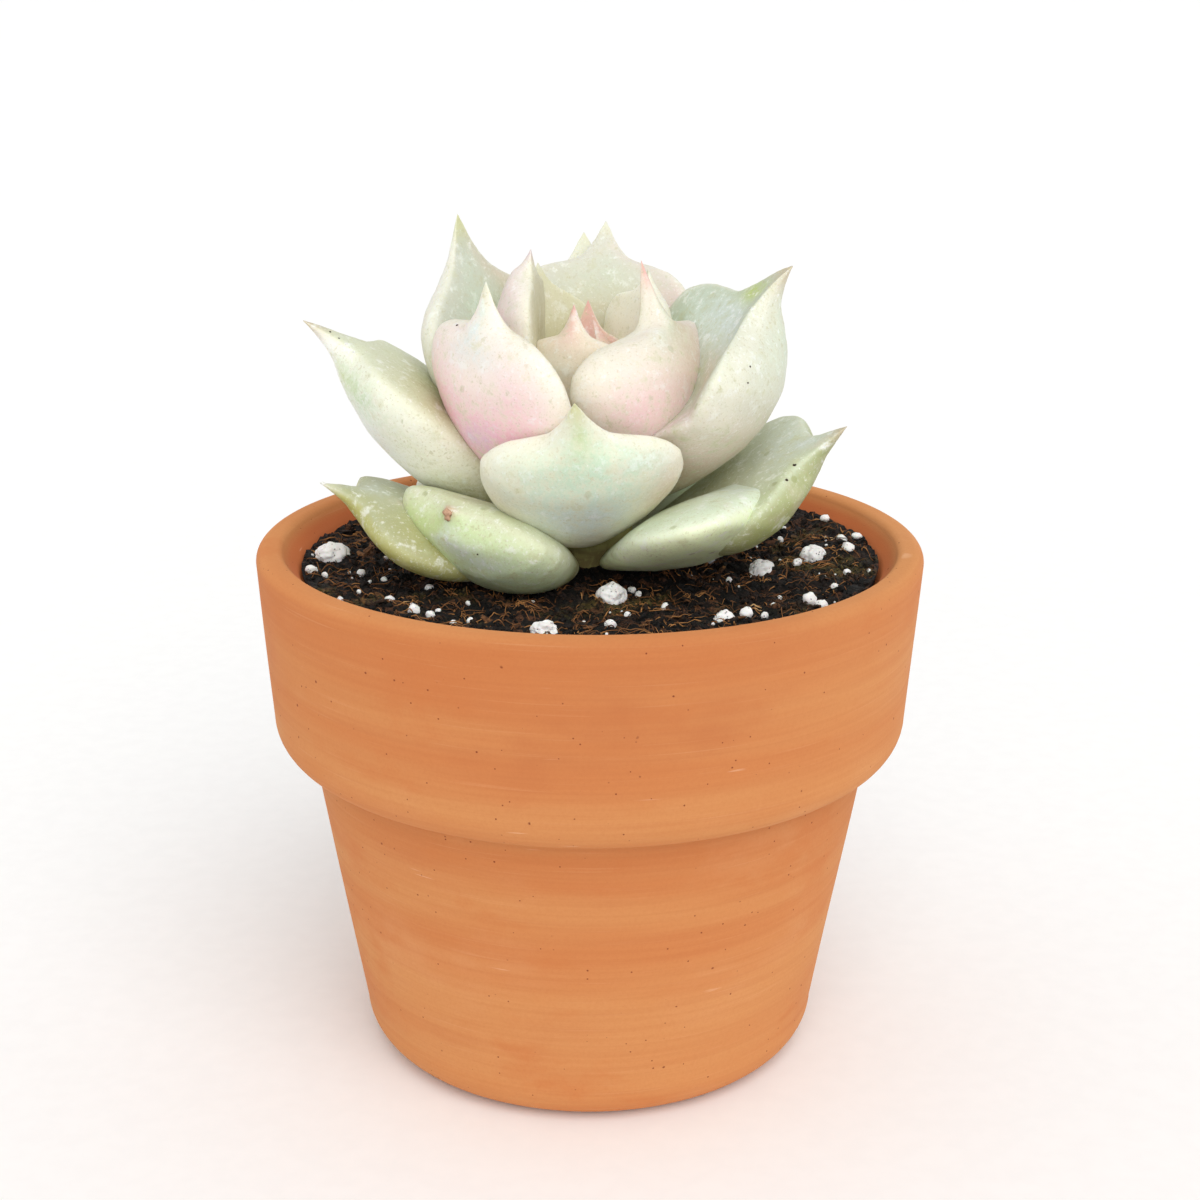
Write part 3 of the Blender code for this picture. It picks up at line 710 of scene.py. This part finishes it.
def leafSpine(leaf, positions):
    # centre line of the leaf with its side and upper directions, in mm
    frames = []
    place = Vector((leaf["start"], 0.0, leaf["height"]))
    steps = leafDetail["spineSteps"]
    wanted = list(positions)
    for step in range(steps + 1):
        position = step / steps
        tip = max(0.0, (position - 1.0 + leaf["point"]) / leaf["point"])
        slope = leaf["rise"] + (leaf["tipRise"] - leaf["rise"]) * position
        rise = math.radians(slope + leaf["flick"] * tip)
        swing = math.radians(leaf["swing"]) * position
        ahead = Vector((math.cos(rise) * math.cos(swing), math.cos(rise) * math.sin(swing), math.sin(rise)))
        side = Vector((-math.sin(swing), math.cos(swing), 0.0))
        upper = ahead.cross(side)
        while wanted and position >= wanted[0] - 1e-9:
            twist = math.radians(leaf["twist"]) * min(1.0, position * 2.0)
            turnedSide = side * math.cos(twist) + upper * math.sin(twist)
            turnedUpper = upper * math.cos(twist) - side * math.sin(twist)
            frames.append((place.copy(), turnedSide, turnedUpper))
            wanted.pop(0)
        place += ahead * (leaf["length"] / steps)
    spin = Matrix.Rotation(math.radians(leaf["around"]), 3, "Z")
    return [tuple(spin @ vector for vector in found) for found in frames]


def leafSlices(leaf, positions):
    # for each position: the frame of the centre line, both half widths and the thickness
    left = halfOutline(leaf, leaf["shoulders"][0])
    right = halfOutline(leaf, leaf["shoulders"][1])
    deep = thicknessCurve(leaf)
    slices = []
    for found, at in zip(leafSpine(leaf, positions), positions):
        half = 0.5 * leaf["width"]
        slices.append((found, (half * left(at), half * right(at)), leaf["depth"] * deep(at)))
    return slices


def leafPoint(leaf, cut, angle):
    # a point on the leaf's skin, in metres; angle 0 is one margin, 90 the upper face, 180 the other margin
    (place, side, upper), halves, depth = cut
    across = math.cos(angle)
    which = 1 if across > 0.0 else 0
    half = halves[which]
    lift = math.sin(angle)
    lift = upperShare * lift ** 0.8 if lift > 0.0 else -lowerShare * (-lift) ** 1.05
    lift *= 1.0 + leaf["lean"] * across
    hollow = (leaf["hollow"] + leaf["curl"][which]) * half * across * across
    return (place + side * (half * across) + upper * (depth * lift + hollow)) * mm


# skin: colour of the outer and of the inner face; patches: what, face (-1 outer, 1 inner, 0 both), across,
# along, reach across, reach along, strength
# olive patches are painted shade: where leaves overlap one another, at their bases and on the undersides
leafLooks = {
    "leaf_front_middle": dict(skin=((234, 231, 210), (236, 232, 214)), tip="olive",
        patches=[("mint", -1, 0.15, 0.72, 1, 0.22, 0.95), ("mint", -1, 0, 0.55, 0.6, 0.14, 0.75),
        ("fresh", -1, 0.15, 0.86, 0.4, 0.07, 0.45), ("blush", -1, 0.9, 0.56, 0.3, 0.16, 0.55),
        ("bloom", -1, 0, 0.52, 0.6, 0.1, 0.7), ("tan", -1, 0.85, 0.48, 0.3, 0.12, 0.7),
        ("tan", -1, -0.85, 0.52, 0.3, 0.1, 0.35)]),
    "leaf_front_left": dict(skin=((243, 232, 220), (220, 214, 194)),
        patches=[("blush", -1, 0.05, 0.45, 0.75, 0.14, 1), ("blush", -1, -0.55, 0.54, 0.45, 0.2, 0.65),
        ("lilac", -1, -0.05, 0.47, 0.3, 0.06, 0.65), ("bloom", -1, 0.05, 0.82, 0.45, 0.09, 0.7),
        ("mint", -1, 0.2, 0.91, 0.4, 0.08, 0.45), ("blush", -1, 0.55, 0.6, 0.3, 0.16, 0.35)]),
    "leaf_front_right": dict(skin=((233, 225, 210), (222, 216, 194)), tip="rose",
        patches=[("blush", -1, 0.2, 0.45, 0.7, 0.2, 0.5), ("blush", -1, -0.7, 0.44, 0.4, 0.12, 0.4),
        ("lilac", -1, 0.5, 0.55, 0.35, 0.2, 0.6), ("mint", -1, -0.2, 0.74, 0.4, 0.1, 0.6),
        ("tan", -1, 0.1, 0.66, 0.45, 0.14, 0.6), ("tan", -1, 0.2, 0.8, 0.4, 0.08, 0.4),
        ("rose", 1, 0.6, 0.9, 0.6, 0.12, 0.8)]),
    "leaf_low_front_left": dict(skin=((206, 224, 170), (206, 212, 176)), tip="scar", scuffs=0.5, rim=0.2,
        patches=[("bloom", -1, -0.1, 0.9, 0.35, 0.05, 0.95), ("bloom", -1, 0.4, 0.82, 0.35, 0.1, 0.55),
        ("fresh", -1, -0.6, 0.86, 0.35, 0.12, 0.5), ("mint", -1, 0.6, 0.66, 0.5, 0.15, 0.45),
        ("olive", 0, 0, 0.2, 2, 0.14, 0.8), ("olive", -1, -0.9, 0.62, 0.4, 0.22, 0.55)]),
    "leaf_low_front_right": dict(skin=((240, 255, 206), (218, 230, 202)), scuffs=0.45, rim=0.25,
        patches=[("bloom", 1, 0.1, 0.8, 0.6, 0.18, 0.45), ("fresh", -1, -0.3, 0.7, 0.6, 0.22, 0.18),
        ("mint", 0, -0.7, 0.6, 0.3, 0.3, 0.2), ("fresh", 1, -0.2, 0.5, 0.5, 0.15, 0.25)]),
    "leaf_low_left": dict(skin=((186, 186, 100), (176, 180, 140)), scuffs=0.5, rim=0.06,
        patches=[("fresh", -1, 0.6, 0.6, 0.5, 0.25, 0.5), ("bloom", 1, -0.2, 0.78, 0.5, 0.12, 0.4),
        ("olive", 0, 0.6, 0.5, 0.6, 0.22, 0.9), ("olive", -1, 0.8, 0.75, 0.5, 0.15, 0.45)]),
    "leaf_low_right": dict(skin=((168, 176, 128), (202, 210, 186)), tip="tan", scuffs=0.5, rim=0.04,
        patches=[("bloom", 1, 0.3, 0.78, 0.5, 0.2, 0.5), ("fresh", -1, -0.6, 0.6, 0.5, 0.2, 0.6),
        ("fresh", 1, -0.8, 0.66, 0.35, 0.2, 0.35), ("olive", -1, -0.5, 0.5, 0.6, 0.2, 0.55),
        ("olive", 1, 0.2, 0.35, 2, 0.22, 0.55)]),
    "leaf_left": dict(skin=((255, 255, 250), (213, 218, 190)), tip="tan", scuffs=0.45,
        patches=[("mint", -1, 0.8, 0.74, 0.5, 0.1, 0.75), ("fresh", -1, 0.6, 0.8, 0.45, 0.07, 0.5),
        ("bloom", -1, 0.3, 0.6, 0.4, 0.08, 0.5), ("olive", 0, 0.5, 0.25, 0.9, 0.15, 0.8),
        ("olive", 1, 0.3, 0.55, 0.9, 0.16, 0.6), ("fresh", -1, 0.9, 0.55, 0.25, 0.2, 0.3)]),
    "leaf_right": dict(skin=((220, 220, 202), (192, 200, 176)), tip="tan", scuffs=0.45,
        patches=[("bloom", 1, 0, 0.72, 0.7, 0.16, 0.75), ("fresh", 1, 0.35, 0.85, 0.6, 0.045, 1),
        ("fresh", 1, 0, 0.87, 0.3, 0.03, 0.5), ("mint", 1, 0.3, 0.68, 0.8, 0.2, 0.45),
        ("blush", -1, -0.8, 0.32, 0.6, 0.18, 0.32), ("tan", -1, -0.8, 0.22, 0.6, 0.12, 0.6),
        ("blush", 1, -0.9, 0.45, 0.3, 0.14, 0.35), ("mint", -1, -0.4, 0.76, 0.5, 0.14, 0.4),
        ("tan", -1, -0.4, 0.46, 0.5, 0.12, 0.45), ("tan", 1, -0.5, 0.6, 0.4, 0.08, 0.6)]),
    "leaf_back_left": dict(skin=((234, 234, 224), (202, 204, 188)), tip="olive", scuffs=0.22,
        patches=[("mint", 1, 0.1, 0.62, 0.6, 0.25, 0.55), ("tan", 1, -0.7, 0.72, 0.4, 0.2, 0.45)]),
    "leaf_back": dict(skin=((234, 234, 214), (212, 210, 196)),
        patches=[("mint", 1, 0, 0.72, 0.6, 0.16, 0.5), ("olive", 1, 0.2, 0.44, 0.9, 0.2, 0.85),
        ("tan", 1, -0.1, 0.62, 0.6, 0.16, 0.35), ("blush", 1, -0.8, 0.6, 0.3, 0.2, 0.35)]),
    "leaf_upper_left": dict(skin=((230, 226, 214), (220, 217, 192)), tip="lilac",
        patches=[("olive", 1, 0, 0.5, 1, 0.28, 0.5), ("blush", -1, 0.4, 0.6, 0.7, 0.3, 0.4)]),
    "leaf_upper_right": dict(skin=((240, 237, 218), (246, 244, 226)),
        patches=[("olive", 1, 0, 0.42, 1, 0.16, 0.4)]),
    "leaf_heart_front": dict(skin=((236, 223, 204), (230, 204, 190)), tip="rose",
        patches=[("olive", -1, 0.6, 0.5, 0.5, 0.3, 0.35), ("rose", -1, 0, 0.86, 0.6, 0.1, 0.45),
        ("mint", -1, -0.3, 0.62, 0.4, 0.12, 0.25)]),
    "leaf_back_outer": dict(skin=((228, 229, 212), (222, 223, 206)), patches=[]),
    "leaf_heart_back": dict(skin=((232, 204, 190), (222, 190, 172)), tip="rose",
        patches=[("rose", 0, 0, 0.8, 1.2, 0.16, 0.4), ("olive", 0, 0, 0.45, 1, 0.15, 0.5)]),
    "leaf_heart_right": dict(skin=((226, 204, 186), (214, 176, 160)), tip="rose",
        patches=[("rose", 0, 0, 0.8, 1, 0.25, 0.6), ("olive", 0, 0, 0.45, 1, 0.15, 0.5)]),
    "leaf_upper_back_left": dict(skin=((220, 216, 188), (214, 212, 180)),
        patches=[("olive", 1, 0, 0.44, 1.4, 0.18, 0.95)]),
}
leafDefaults = dict(skin=((226, 230, 204), (224, 229, 206)), tip="pale", scuffs=0.25, rim=0.4, patches=[
    ("mint", 0, 0.1, 0.6, 0.7, 0.3, 0.5), ("blush", -1, 0.3, 0.35, 0.6, 0.25, 0.3)])
leafTones = {
    "blush": tint(248, 186, 206),
    "mint": tint(200, 222, 196),
    # painted shade colour, laid by the olive patches and at the base of every leaf
    "olive": tint(172, 166, 94),
    "bloom": tint(214, 224, 222),
    "fresh": tint(184, 200, 116),
    "lilac": tint(224, 204, 224),
    "tan": tint(206, 184, 152),
    "rose": tint(224, 158, 152),
}
tipTones = {
    "olive": tint(204, 206, 158),
    "pale": tint(220, 220, 196),
    "lilac": tint(216, 196, 200),
    "rose": tint(226, 166, 160),
    "tan": tint(196, 182, 156),
    "scar": tint(206, 178, 146),
}
# paler flesh shows through at the margins, greener flesh where the bloom is rubbed off
marginTone = tint(244, 242, 224)
scuffTone = tint(150, 156, 96)
# broad drift, blotches, patchy wax powder and fine dust: where each starts and is full, strength, whether
# that grows with the leaf's scuffs, colour
skinLayers = [
    ("drift", 0.58, 0.76, 0.3, False, tint(236, 220, 208)),
    ("blotch", 0.46, 0.3, 0.42, True, tint(198, 200, 156)),
    ("blotch", 0.54, 0.68, 0.45, True, tint(244, 247, 242)),
    ("powder", 0.56, 0.7, 0.46, True, tint(248, 250, 248)),
    ("powder", 0.42, 0.3, 0.4, True, tint(178, 176, 124)),
    ("dust", 0.56, 0.7, 0.45, True, tint(190, 178, 142)),
    ("dust", 0.4, 0.28, 0.4, True, tint(250, 251, 248)),
]
toneNames = list(leafTones)


def skinMaterial(name, look):
    made, tree, place = startMaterial(
        name, Specular_IOR_Level=0.4, Subsurface_Weight=0.16, Subsurface_Radius=(1.0, 0.8, 0.45),
        Subsurface_Scale=0.0018)
    first = node(tree, "ShaderNodeAttribute", attribute_name="tonesA")
    second = node(tree, "ShaderNodeAttribute", attribute_name="tonesB")
    marks = node(tree, "ShaderNodeAttribute", attribute_name="marks")
    amounts = {}
    for source, names in ((first, toneNames[:4]), (second, toneNames[4:])):
        parts = node(tree, "ShaderNodeSeparateColor", {0: source.outputs["Color"]}).outputs
        for number, tone in enumerate(names):
            amounts[tone] = parts[number] if number < 3 else source.outputs["Alpha"]
    tip, rim, inner = node(tree, "ShaderNodeSeparateColor", {0: marks.outputs["Color"]}).outputs[:3]

    clouds = {
        "drift": cloud(tree, place, 170.0, 4.0, 0.6),
        "blotch": cloud(tree, objectPlace(tree, shift=(0.4, 1.1, 2.0)), 430.0, 5.0, 0.68),
        "powder": cloud(tree, objectPlace(tree, shift=(1.9, 0.2, 0.7)), 1050.0, 4.0, 0.7),
        "dust": cloud(tree, place, 3300.0, 3.0, 0.7),
    }
    blotch, powder = clouds["blotch"], clouds["powder"]
    outside, inside = look["skin"]
    colour = mixed(tree, inner, tint(*outside), tint(*inside))
    broken = plus(tree, times(tree, blotch, 0.55), times(tree, powder, 0.45))
    broken = between(tree, broken, 0.38, 0.62, 0.45, 1.3)
    # olive is always laid, for the painted shade at each leaf's base
    used = {patch[0] for patch in look["patches"]} | {"olive"}
    for tone in toneNames:
        if tone in used:
            amount = reckon(tree, "MULTIPLY", amounts[tone], broken, clamp=True)
            colour = mixed(tree, amount, colour, leafTones[tone])
    colour = mixed(tree, tip, colour, tipTones[look["tip"]])
    colour = mixed(tree, times(tree, rim, look["rim"]), colour, marginTone)
    for source, low, high, strength, grows, shade in skinLayers:
        strength *= 0.6 + 1.2 * look["scuffs"] if grows else 1.0
        colour = layered(tree, colour, clouds[source], low, high, strength, shade)
    # a few small green scuffs
    distance, draw = cells(tree, place, 420.0)
    ragged = plus(tree, distance, times(tree, powder, 0.5))
    scuff = times(tree, between(tree, draw, 0.86, 0.9), between(tree, ragged, 0.48, 0.36))
    colour = mixed(tree, times(tree, scuff, look["scuffs"]), colour, scuffTone)

    roughness = between(tree, powder, 0.3, 0.7, 0.34, 0.64)
    relief = plus(tree, times(tree, blotch, 0.8), times(tree, powder, 0.5))
    relief = plus(tree, relief, times(tree, clouds["dust"], 0.2))
    return finishMaterial(made, colour, roughness, relief, 0.45, 0.00024)


def tonesAt(look, across, along, face):
    # how much of each colour lies at one place of a leaf
    amounts = dict.fromkeys(toneNames, 0.0)
    # painted shade: olive darkening towards each leaf's base, where the leaves crowd the stem
    amounts["olive"] = 0.55 * ease(0.36, 0.08, along)
    for what, side, middle, where, reachAcross, reachAlong, strength in look["patches"]:
        gap = ((across - middle) / reachAcross) ** 2 + ((along - where) / reachAlong) ** 2
        here = strength * math.exp(-gap)
        if side:
            here *= ease(-0.3, 0.3, face * side)
        amounts[what] = 1.0 - (1.0 - amounts[what]) * (1.0 - min(1.0, here))
    return amounts


def fullLeaf(name):
    return {**leafHabit, **leafShapes[name]}


def makeLeaf(name, detail):
    leaf = fullLeaf(name)
    look = {**leafDefaults, **leafLooks.get(name, {})}
    rings = detail["along"]
    # rings crowd a little towards both ends
    positions = [0.65 * ring / rings + 0.175 * (1.0 - math.cos(math.pi * ring / rings))
                 for ring in range(rings + 1)]
    slices = leafSlices(leaf, positions)
    bm = bmesh.new()
    bmesh.ops.create_uvsphere(bm, u_segments=detail["around"], v_segments=rings, radius=1.0)
    toneLayers = [bm.verts.layers.float_color.new(layer) for layer in ("tonesA", "tonesB")]
    markLayer = bm.verts.layers.float_color.new("marks")
    tipStart = 1.0 - leaf["point"]
    for vert in bm.verts:
        ring = round((1.0 - math.acos(max(-1.0, min(1.0, vert.co.z))) / math.pi) * rings)
        angle = math.atan2(vert.co.y, vert.co.x)
        position = positions[ring]
        within = 0 < ring < rings
        across = math.cos(angle) if within else 0.0
        face = math.sin(angle) if within else 0.0
        amounts = list(tonesAt(look, across, position, face).values())
        vert[toneLayers[0]] = amounts[:4]
        vert[toneLayers[1]] = amounts[4:]
        atTip = ease(tipStart + 0.35 * leaf["point"], 1.0, position)
        atRim = ease(0.82, 1.0, abs(across)) * ease(0.2, 0.5, position)
        vert[markLayer] = [atTip, atRim, ease(-0.35, 0.35, face), 1.0]
        vert.co = leafPoint(leaf, slices[ring], angle) if within else slices[ring][0][0] * mm
    bmesh.ops.recalc_face_normals(bm, faces=bm.faces)
    bm.normal_update()
    for vert in bm.verts:
        # living flesh is slightly uneven
        swell = noise.noise(vert.co * 130.0) * 0.2 + noise.noise(vert.co * 420.0) * 0.05
        vert.co += vert.normal * swell * mm * (1.0 - vert[markLayer][0])
    skin = skinMaterial(name.replace("leaf_", "skin_"), look)
    piece = newPiece(name.replace("leaf_", "fleshyLeaf_"), bm, skin)
    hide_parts(name)


for leafName in leafShapes:
    makeLeaf(leafName, leafDetail)
print("leaves made")


# small things on the leaves

leafSpecks = {
    "dirt": tint(58, 46, 36),
    "wax": tint(246, 246, 240),
    "scar": tint(206, 166, 136),
    # leaf, part of its length, angle round it (0 and 180 are the margins, 90 the upper face), size in mm
    "dark": [
        ("leaf_front_left", 0.822, 205, 0.4), ("leaf_low_right", 0.797, 150, 0.55),
        ("leaf_low_right", 0.775, 168, 0.42), ("leaf_right", 0.723, 204, 0.24),
        ("leaf_right", 0.682, 206, 0.24), ("leaf_left", 0.915, 60, 0.26), ("leaf_left", 0.885, 40, 0.22),
        ("leaf_low_front_left", 0.9, 330, 0.3), ("leaf_low_front_left", 0.86, 300, 0.26),
        ("leaf_low_left", 0.78, 130, 0.24)],
    "pale": [
        ("leaf_low_left", 0.985, 90, 0.55), ("leaf_low_left", 0.9, 70, 0.3), ("leaf_left", 0.86, 30, 0.42),
        ("leaf_left", 0.83, 15, 0.34), ("leaf_low_left", 0.8, 150, 0.36)],
    "warts": [("leaf_low_front_left", 0.985, 275, 1.25), ("leaf_low_front_left", 0.968, 278, 0.95)],
}


def onLeaf(name, along, angle):
    # place and outward direction on a leaf's skin
    leaf = fullLeaf(name)
    step = 0.004
    near, here, far = leafSlices(leaf, [along - step, along, along + step])
    turn = math.radians(angle)
    spot = leafPoint(leaf, here, turn)
    lengthwise = leafPoint(leaf, far, turn) - leafPoint(leaf, near, turn)
    sidewise = leafPoint(leaf, here, turn + 0.02) - leafPoint(leaf, here, turn - 0.02)
    outward = lengthwise.cross(sidewise).normalized()
    middle = here[0][0] * mm
    if outward.dot(spot - middle) < 0.0:
        outward.negate()
    return spot, outward


def speckMaterial(name, colour, gloss):
    made, tree, place = startMaterial(name, Specular_IOR_Level=gloss)
    fine = cloud(tree, place, 4200.0, 3.0)
    darker = [0.55 * part for part in colour[:3]] + [1.0]
    shade = layered(tree, colour, fine, 0.35, 0.65, 0.5, darker)
    return finishMaterial(made, shade, between(tree, fine, 0.3, 0.7, 0.4, 0.8), fine, 0.5, 0.0001)


def makeSpecks(specks):
    rng = random.Random(31)
    kinds = (("dark", "dirtSpecks", speckMaterial("driedDirt", specks["dirt"], 0.3), 0.45),
             ("pale", "waxDrops", speckMaterial("whiteWax", specks["wax"], 0.6), 0.6),
             ("warts", "driedScar", speckMaterial("driedScar", specks["scar"], 0.2), 0.45))
    for kind, pieceName, material, height in kinds:
        bm = bmesh.new()
        for name, along, angle, size in specks[kind]:
            spot, outward = onLeaf(name, along, angle)
            facing = outward.to_track_quat("Z", "Y").to_matrix().to_4x4()
            sizes = (size * 0.5, size * rng.uniform(0.35, 0.55), size * height * 0.5)
            addTo(bm, crumb(rng, 2, 0.25), placed(spot, facing, sizes))
        newPiece(pieceName, bm, material)


makeSpecks(leafSpecks)
print("specks made")


# stem: its CAD node stays and gets a skin

stemLooks = {"flesh": tint(176, 172, 108), "rings": tint(140, 126, 78), "flecks": tint(186, 186, 120)}


def stemMaterial(looks):
    made, tree, place = startMaterial("stemSkin", Specular_IOR_Level=0.3)
    rings = streaks(tree, (120, 120, 620))
    fine = cloud(tree, place, 1400.0, 3.0)
    colour = mixed(tree, between(tree, rings, 0.35, 0.65), looks["flesh"], looks["rings"])
    colour = layered(tree, colour, fine, 0.5, 0.75, 0.6, looks["flecks"])
    return finishMaterial(made, colour, between(tree, fine, 0.3, 0.7, 0.6, 0.85), rings, 0.5, 0.0003)


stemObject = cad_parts["stem"]
stemObject.data.materials.clear()
stemObject.data.materials.append(stemMaterial(stemLooks))
print("stem skinned")


# floor, lights and camera

studio = {
    "floor": tint(254, 254, 253),
    "floorFleck": tint(252, 252, 251),
    "floorSize": 60.0,
    "skyColour": (1, 1, 1),
    "skyStrength": 0.72,
    # turn round the pot (0 is the front), height, strength and softness of each lamp
    "lamps": {"softKey": (18.0, 46.0, 1.2, 50.0), "lowFill": (-4.0, 1.0, 1.05, 70.0)},
    "cameraPlace": (0.0012387, -0.2402923, 0.1328741),
    "cameraDip": 0.3049,
    "cameraRoll": 0.0045,
    "cameraLens": 60.29,
}


def makeFloor(room):
    bm = bmesh.new()
    bmesh.ops.create_grid(bm, x_segments=1, y_segments=1, size=room["floorSize"] * 0.5)
    mesh = meshFrom("paleFloor", bm)
    made, tree, place = startMaterial("palePaper", Roughness=0.9, Specular_IOR_Level=0.1)
    fibre = cloud(tree, place, 300.0, 2.0)
    shade = mixed(tree, between(tree, fibre, 0.3, 0.7), room["floor"], room["floorFleck"])
    tree.links.new(shade, tree.nodes["Principled BSDF"].inputs["Base Color"])
    mesh.materials.append(made)
    floor = inScene("paleFloor", mesh)


def makeLights(room):
    world = bpy.data.worlds.new("studioSky")
    world.use_nodes = True
    tree = world.node_tree
    sky = tree.nodes["Background"]
    sky.inputs["Color"].default_value = (*room["skyColour"], 1.0)
    # the backdrop itself is as white as the lit floor
    seen = node(tree, "ShaderNodeLightPath").outputs["Is Camera Ray"]
    tree.links.new(between(tree, seen, 0.0, 1.0, room["skyStrength"], 1.0), sky.inputs["Strength"])
    bpy.context.scene.world = world
    for name, (turn, height, strength, softness) in room["lamps"].items():
        lamp = bpy.data.lights.new(name, "SUN")
        lamp.energy = strength
        lamp.angle = math.radians(softness)
        tilt = Matrix.Rotation(math.radians(90.0 - height), 4, "X")
        inScene(name, lamp).matrix_world = Matrix.Rotation(math.radians(turn), 4, "Z") @ tilt


def makeCamera(room):
    lens = bpy.data.cameras.new("studioCamera")
    lens.sensor_width = 36.0
    lens.lens = room["cameraLens"]
    lens.clip_start = 0.01
    lens.clip_end = 100.0
    holder = inScene("studioCamera", lens)
    tilt = Matrix.Rotation(math.pi / 2 - room["cameraDip"], 4, "X")
    roll = Matrix.Rotation(room["cameraRoll"], 4, "Z")
    holder.matrix_world = Matrix.Translation(room["cameraPlace"]) @ tilt @ roll
    bpy.context.scene.camera = holder


makeFloor(studio)
makeLights(studio)
makeCamera(studio)
bpy.context.scene.view_settings.view_transform = "Standard"
print("studio set")
